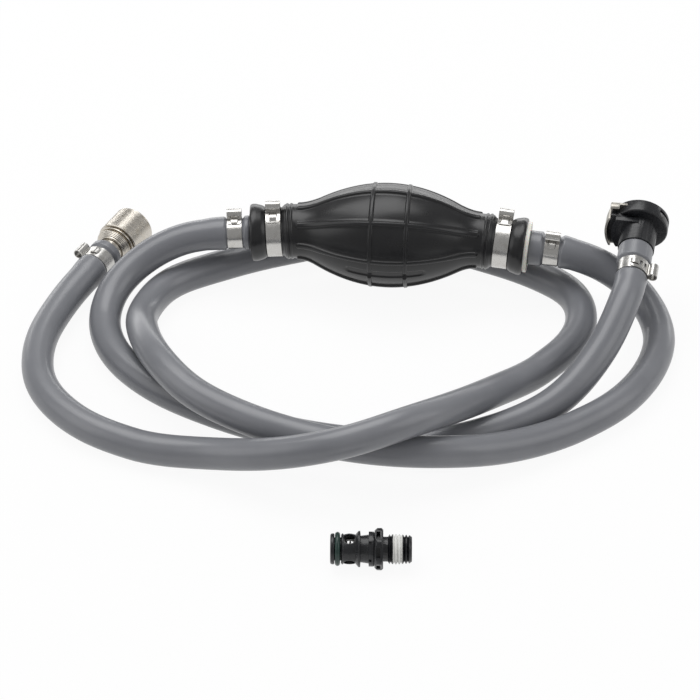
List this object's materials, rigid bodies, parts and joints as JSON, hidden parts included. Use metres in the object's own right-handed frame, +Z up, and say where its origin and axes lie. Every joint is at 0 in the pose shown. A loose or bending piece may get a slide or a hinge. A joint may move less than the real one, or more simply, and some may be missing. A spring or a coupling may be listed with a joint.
{
  "type": "siphon bulb pump",
  "caption": "Hand primer bulb with check valves in a grey fuel hose, with a knurled quick coupling, a black latch coupler and its loose threaded tank fitting.",
  "frame": {"origin": "on the floor, under the middle of the bulb", "axes": "+X along the bulb in the direction of flow, from the tank side to the engine side; +Z up"},
  "size_m": [0.3081, 0.2458, 0.0564],
  "materials": {
    "black_rubber": "matte, slightly waxy moulded rubber",
    "grey_hose": "satin bluish grey fuel hose",
    "white_nylon": "natural nylon, slightly translucent",
    "valve_rubber": "fuel-proof rubber",
    "spring_steel": "drawn stainless wire",
    "clamp_steel": "bright pressed stainless strip",
    "nickel": "nickel plate on brass",
    "bearing_steel": "polished",
    "brass": "turned",
    "seal_rubber": "oiled",
    "black_nylon": "satin moulded glass-filled nylon",
    "green_seal": "dark green fuel-proof rubber",
    "white_sealant": "baked-on thread sealant",
    "acetal": "natural acetal"
  },
  "bodies": {
    "fuel_line": {"bulb": "black_rubber", "tank_hose": "grey_hose", "engine_hose": "grey_hose", "outlet_valve_body": "white_nylon", "outlet_valve_seat": "white_nylon", "inlet_valve_spring": "spring_steel", "outlet_valve_spring": "spring_steel", "engine_sleeve_spring": "spring_steel", "engine_valve_spring": "spring_steel", "latch_spring": "spring_steel", "tank_valve_spring": "spring_steel", "bulb_clamp_inlet": "clamp_steel", "bulb_clamp_outlet": "clamp_steel", "hose_clamp_inlet": "clamp_steel", "hose_clamp_outlet": "clamp_steel", "hose_clamp_tank": "clamp_steel", "hose_clamp_engine": "clamp_steel", "engine_coupling_body": "nickel", "engine_lock_balls": "bearing_steel", "engine_snap_ring": "bearing_steel", "engine_socket_seal": "seal_rubber", "tank_socket_seal": "seal_rubber", "inlet_valve_body": "black_nylon", "inlet_valve_cage": "black_nylon", "tank_coupler_body": "black_nylon"},
    "inlet_disc": {"inlet_valve_disc": "valve_rubber"},
    "outlet_disc": {"outlet_valve_disc": "valve_rubber"},
    "engine_sleeve": {"engine_sleeve": "nickel"},
    "engine_poppet": {"engine_valve_poppet": "brass"},
    "latch": {"latch_plate": "clamp_steel", "latch_button": "black_nylon"},
    "tank_pin": {"tank_valve_pin": "brass"},
    "tank_fitting": {"tank_fitting_body": "black_nylon", "fitting_seal_ring": "green_seal", "fitting_thread_sealant": "white_sealant", "fitting_spring": "spring_steel"},
    "fitting_poppet": {"fitting_poppet": "acetal"}
  },
  "joints": [
    {"name": "inlet_disc_lift", "type": "slide", "parent": "fuel_line", "child": "inlet_disc", "axis": [0.9957, 0.0696, 0.061], "range_m": [0, 0.0022], "stiffness_N_per_m": 30, "springref_m": -0.003, "deforming": ["inlet_valve_spring"]},
    {"name": "outlet_disc_lift", "type": "slide", "parent": "fuel_line", "child": "outlet_disc", "axis": [0.9957, -0.0696, -0.061], "range_m": [0, 0.0022], "stiffness_N_per_m": 30, "springref_m": -0.003, "deforming": ["outlet_valve_spring"]},
    {"name": "sleeve_pull_back", "type": "slide", "parent": "fuel_line", "child": "engine_sleeve", "axis": [-0.4258, -0.9048, 0], "range_m": [0, 0.003], "stiffness_N_per_m": 2500, "springref_m": -0.002, "deforming": ["engine_sleeve_spring"]},
    {"name": "engine_valve_open", "type": "slide", "parent": "fuel_line", "child": "engine_poppet", "axis": [-0.4258, -0.9048, 0], "range_m": [0, 0.0024], "stiffness_N_per_m": 800, "springref_m": -0.002, "deforming": ["engine_valve_spring"]},
    {"name": "latch_press", "type": "slide", "parent": "fuel_line", "child": "latch", "axis": [0.997, -0.0775, 0], "range_m": [0, 0.002], "stiffness_N_per_m": 2000, "springref_m": -0.002, "deforming": ["latch_spring"]},
    {"name": "tank_valve_open", "type": "slide", "parent": "fuel_line", "child": "tank_pin", "axis": [-0.0768, -0.9876, -0.1372], "range_m": [0, 0.0022], "stiffness_N_per_m": 800, "springref_m": -0.002, "deforming": ["tank_valve_spring"]},
    {"name": "tank_fitting_lift", "type": "slide", "parent": "fuel_line", "child": "tank_fitting", "axis": [0, 0, 1], "range_m": [0, 0.06]},
    {"name": "fitting_valve_open", "type": "slide", "parent": "tank_fitting", "child": "fitting_poppet", "axis": [0.9973, 0.0732, 0], "range_m": [0, 0.002], "stiffness_N_per_m": 600, "springref_m": -0.002, "deforming": ["fitting_spring"]}
  ]
}
